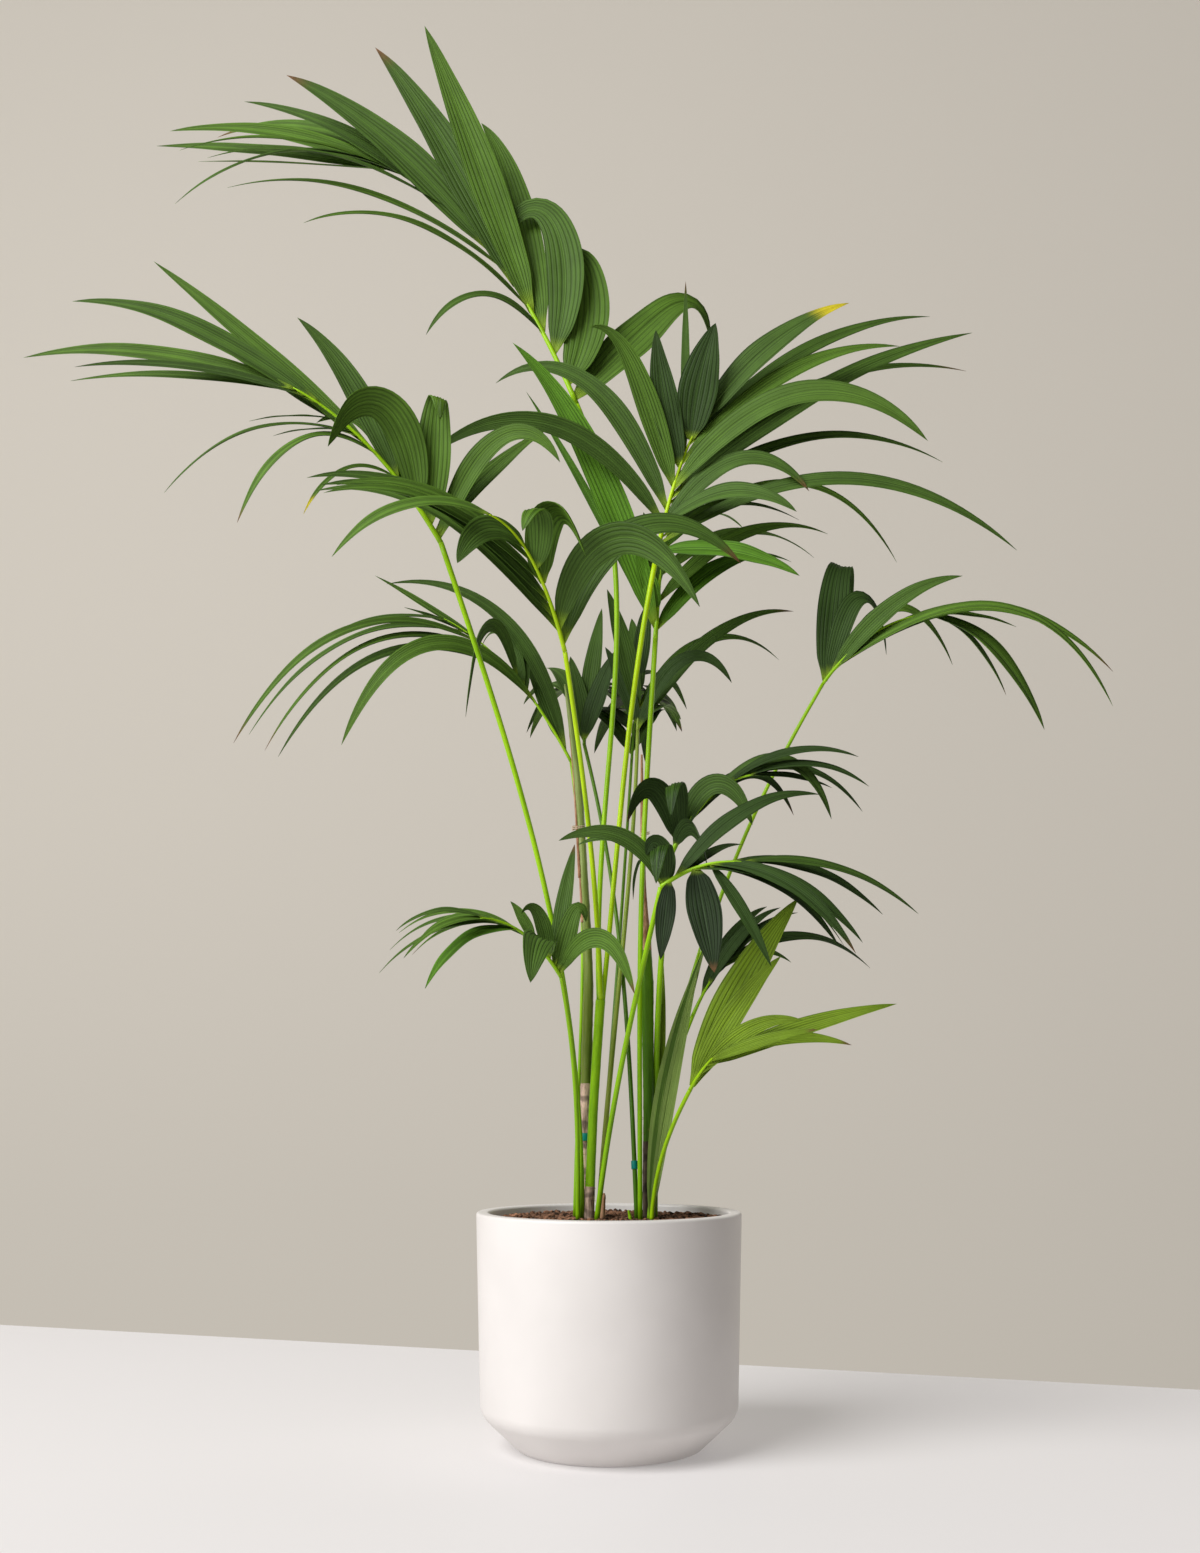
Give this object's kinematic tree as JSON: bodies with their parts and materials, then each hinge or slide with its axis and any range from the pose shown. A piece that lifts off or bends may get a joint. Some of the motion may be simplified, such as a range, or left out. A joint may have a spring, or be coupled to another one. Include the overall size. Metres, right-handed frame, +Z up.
{
  "type": "potted kentia palm",
  "caption": "Tall indoor palm with slender green stalks and arching fronds of long leaflets, growing in a plain round tapered ceramic pot with a rounded foot.",
  "frame": {"origin": "centre of the pot's flat underside", "axes": "+Z up the plant, -Y towards the front, +X to the right as seen from the front"},
  "size_m": [1.4233, 0.8179, 2.0482],
  "materials": {
    "pot": "smooth matt off-white glaze, faintly warm",
    "soil": "rough dark brown potting soil with pale specks",
    "stem": "olive green fibrous stem, brown and ringed near the soil",
    "stalk": "smooth satin yellow-green leaf stalk",
    "frond": "ribbed satin deep green leaf, duller and greyer beneath, a few tips yellow or brown",
    "young_frond": "ribbed satin yellow-green young leaf",
    "tape": "thin teal tape",
    "dead": "dry brown husk"
  },
  "bodies": {
    "root": {"frond_back": "frond", "frond_back_left": "frond", "frond_back_right": "frond", "frond_centre_front": "frond", "frond_far_right": "frond", "frond_front_right": "frond", "frond_hidden_back": "frond", "frond_left": "frond", "frond_low_back": "frond", "frond_low_left": "frond", "frond_mid_right": "frond", "frond_right": "frond", "frond_tall": "frond", "frond_upper_back": "frond", "frond_young": "young_frond", "pot": "pot", "shoot_right": "dead", "soil": "soil", "spear_right": "stalk", "stalk_back": "stalk", "stalk_back_left": "stalk", "stalk_back_right": "stalk", "stalk_centre_front": "stalk", "stalk_far_right": "stalk", "stalk_front_right": "stalk", "stalk_hidden_back": "stalk", "stalk_left": "stalk", "stalk_low_back": "stalk", "stalk_low_left": "stalk", "stalk_mid_right": "stalk", "stalk_right": "stalk", "stalk_tall": "stalk", "stalk_upper_back": "stalk", "stalk_young": "stalk", "stem_back": "stem", "stem_left": "stem", "stem_right": "stem", "stub_left": "dead", "tape_left": "tape", "tape_right": "tape"}
  },
  "joints": []
}
